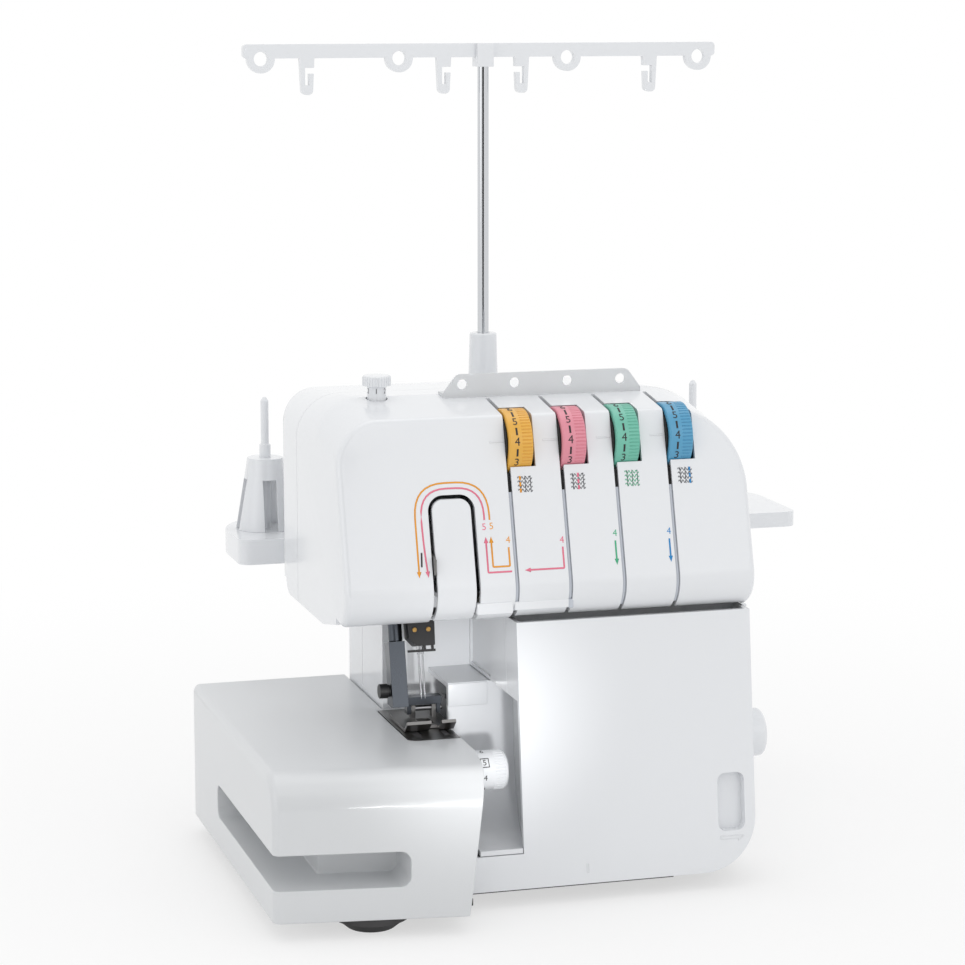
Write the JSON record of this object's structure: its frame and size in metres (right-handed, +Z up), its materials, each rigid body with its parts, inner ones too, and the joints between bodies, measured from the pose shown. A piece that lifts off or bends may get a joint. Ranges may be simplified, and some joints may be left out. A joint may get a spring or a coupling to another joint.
{
  "type": "overlock sewing machine",
  "caption": "Home overlock sewing machine with a slanted head, tension dials, hinged looper cover, pull-off extension table and a telescopic thread tree over a spool stand.",
  "frame": {"origin": "on the surface the machine stands on, under the middle of its outline", "axes": "+X to the operator's right, +Y to the back, +Z up"},
  "size_m": [0.335, 0.2808, 0.408],
  "materials": {
    "casing": "gloss white",
    "table": "satin white",
    "grey_plastic": "satin grey",
    "dark_plastic": "matt black",
    "base": "dark sheet",
    "rubber": "matt",
    "casting": "as cast",
    "steel": "brushed",
    "chrome": "polished",
    "brass": "turned",
    "amber": "amber",
    "pink": "pink",
    "teal": "green",
    "blue": "blue",
    "lens": "diffuse lens"
  },
  "bodies": {
    "machine": {"base_plate": "base", "rubber_feet": "rubber", "frame": "casting", "column_casing": "casing", "front_housing": "casing", "rear_housing": "casing", "looper_guard": "casing", "take_up_cover": "casing", "free_arm": "casting", "needle_plate": "steel", "screws": "steel", "lower_knife": "steel", "pivot_pins": "steel", "bushes": "brass", "motor": "base", "drive_belt": "rubber", "tension_shaft": "steel", "tension_discs": "chrome", "thread_guide_plate": "casing", "power_inlet": "dark_plastic", "lamp": "lens", "spool_stand": "casing", "spool_pins": "casing", "cone_holders": "casing", "mast_socket": "casing"},
    "table": {"extension_table": "table"},
    "cover_rod": {"cover_hinge_rod": "steel"},
    "cover": {"front_cover": "casing"},
    "shaft": {"main_shaft": "steel", "handwheel": "casing", "shaft_pulley": "dark_plastic"},
    "motor_rotor": {"motor_pulley": "steel"},
    "needle": {"needle_bar": "chrome", "needle_clamp": "dark_plastic", "needle_clamp_screws": "steel", "needles": "chrome"},
    "take_up": {"take_up_lever": "steel"},
    "upper_looper": {"upper_looper": "chrome"},
    "lower_looper": {"lower_looper": "chrome"},
    "upper_knife": {"upper_knife": "steel"},
    "main_feed": {"main_feed_dog": "steel"},
    "differential_feed": {"differential_feed_dog": "steel"},
    "presser": {"presser_bar": "steel", "presser_bar_guide": "steel", "presser_ankle": "steel", "ankle_screw": "dark_plastic", "presser_foot_pin": "steel"},
    "foot": {"presser_foot": "chrome"},
    "lifter": {"presser_lifter": "dark_plastic"},
    "dial_1": {"tension_dial_1": "amber"},
    "dial_2": {"tension_dial_2": "pink"},
    "dial_3": {"tension_dial_3": "teal"},
    "dial_4": {"tension_dial_4": "blue"},
    "pressure_knob": {"pressure_knob": "casing"},
    "width_dial": {"stitch_width_dial": "casing"},
    "length_dial": {"stitch_length_dial": "casing"},
    "differential": {"differential_lever": "casing"},
    "switch": {"power_switch": "dark_plastic"},
    "mast": {"mast": "chrome"},
    "tree": {"thread_tree": "casing"}
  },
  "joints": [
    {"name": "table_pull", "type": "slide", "parent": "machine", "child": "table", "axis": [-1, 0, 0], "range_m": [0, 0.15]},
    {"name": "cover_shift", "type": "slide", "parent": "machine", "child": "cover_rod", "axis": [1, 0, 0], "range_m": [0, 0.008]},
    {"name": "cover_open", "type": "hinge", "parent": "cover_rod", "child": "cover", "pos_m": [0, -0.0986, 0.0125], "axis": [1, 0, 0], "range_deg": [0, 80]},
    {"name": "handwheel_turn", "type": "hinge", "parent": "machine", "child": "shaft", "pos_m": [0, 0.006, 0.072], "axis": [1, 0, 0], "continuous": true},
    {"name": "motor_turn", "type": "hinge", "parent": "machine", "child": "motor_rotor", "pos_m": [0, -0.032, 0.036], "axis": [1, 0, 0], "continuous": true},
    {"name": "needle_stroke", "type": "slide", "parent": "machine", "child": "needle", "axis": [0, 0.2419, 0.9703], "range_m": [-0.024, 0]},
    {"name": "take_up_swing", "type": "hinge", "parent": "machine", "child": "take_up", "pos_m": [-0.08, -0.062, 0.182], "axis": [1, 0, 0], "range_deg": [0, 25]},
    {"name": "upper_looper_swing", "type": "hinge", "parent": "machine", "child": "upper_looper", "pos_m": [-0.038, -0.035, 0.052], "axis": [0, 1, 0], "range_deg": [0, 10]},
    {"name": "lower_looper_swing", "type": "hinge", "parent": "machine", "child": "lower_looper", "pos_m": [-0.048, -0.04, 0.028], "axis": [0, -1, 0], "range_deg": [0, 12]},
    {"name": "knife_stroke", "type": "slide", "parent": "machine", "child": "upper_knife", "axis": [0, 0, 1], "range_m": [-0.008, 0]},
    {"name": "main_feed_stroke", "type": "slide", "parent": "machine", "child": "main_feed", "axis": [0, 1, 0], "range_m": [0, 0.003]},
    {"name": "differential_feed_stroke", "type": "slide", "parent": "machine", "child": "differential_feed", "axis": [0, 1, 0], "range_m": [0, 0.003]},
    {"name": "presser_lift", "type": "slide", "parent": "machine", "child": "presser", "axis": [0, 0.2419, 0.9703], "range_m": [0, 0.006]},
    {"name": "foot_rock", "type": "hinge", "parent": "presser", "child": "foot", "pos_m": [-0.074, -0.037, 0.0845], "axis": [-1, 0, 0], "range_deg": [0, 6]},
    {"name": "lifter_turn", "type": "hinge", "parent": "machine", "child": "lifter", "pos_m": [-0.09, 0.006, 0.1664], "axis": [1, 0, 0], "range_deg": [0, 15]},
    {"name": "dial_1_turn", "type": "hinge", "parent": "machine", "child": "dial_1", "pos_m": [-0.0342, -0.0644, 0.2202], "axis": [1, 0, 0], "range_deg": [-144, 180]},
    {"name": "dial_2_turn", "type": "hinge", "parent": "machine", "child": "dial_2", "pos_m": [-0.0074, -0.0644, 0.2202], "axis": [1, 0, 0], "range_deg": [-144, 180]},
    {"name": "dial_3_turn", "type": "hinge", "parent": "machine", "child": "dial_3", "pos_m": [0.0198, -0.0644, 0.2202], "axis": [1, 0, 0], "range_deg": [-144, 180]},
    {"name": "dial_4_turn", "type": "hinge", "parent": "machine", "child": "dial_4", "pos_m": [0.0472, -0.0644, 0.2202], "axis": [1, 0, 0], "range_deg": [-144, 180]},
    {"name": "pressure_turn", "type": "hinge", "parent": "machine", "child": "pressure_knob", "pos_m": [-0.094, -0.035, 0.24], "axis": [0, 0, 1], "range_deg": [-180, 180]},
    {"name": "width_turn", "type": "hinge", "parent": "machine", "child": "width_dial", "pos_m": [-0.055, -0.088, 0.0645], "axis": [1, 0, 0], "range_deg": [-150, 90]},
    {"name": "length_turn", "type": "hinge", "parent": "machine", "child": "length_dial", "pos_m": [0.087, -0.075, 0.07], "axis": [1, 0, 0], "range_deg": [-120, 150]},
    {"name": "differential_turn", "type": "hinge", "parent": "machine", "child": "differential", "pos_m": [0.085, -0.03, 0.032], "axis": [1, 0, 0], "range_deg": [-35, 35]},
    {"name": "switch_rock", "type": "hinge", "parent": "machine", "child": "switch", "pos_m": [0.0767, -0.007, 0.025], "axis": [0, 0, 1], "range_deg": [-5, 5]},
    {"name": "mast_slide", "type": "slide", "parent": "machine", "child": "mast", "axis": [0, 0, 1], "range_m": [-0.112, 0]},
    {"name": "tree_swivel", "type": "hinge", "parent": "mast", "child": "tree", "pos_m": [0, 0.102, 0.404], "axis": [0, 0, 1], "range_deg": [-90, 90]}
  ],
  "couplings": [
    {"joint": "motor_turn", "follows": "handwheel_turn", "ratio": 4},
    {"joint": "take_up_swing", "follows": "needle_stroke", "rad_per_m": -18.18},
    {"joint": "upper_looper_swing", "follows": "needle_stroke", "rad_per_m": -7.2722},
    {"joint": "lower_looper_swing", "follows": "needle_stroke", "rad_per_m": -8.7266},
    {"joint": "knife_stroke", "follows": "needle_stroke", "ratio": 0.3333},
    {"joint": "main_feed_stroke", "follows": "needle_stroke", "ratio": -0.125},
    {"joint": "differential_feed_stroke", "follows": "needle_stroke", "ratio": -0.125},
    {"joint": "lifter_turn", "follows": "presser_lift", "rad_per_m": 43.633}
  ]
}
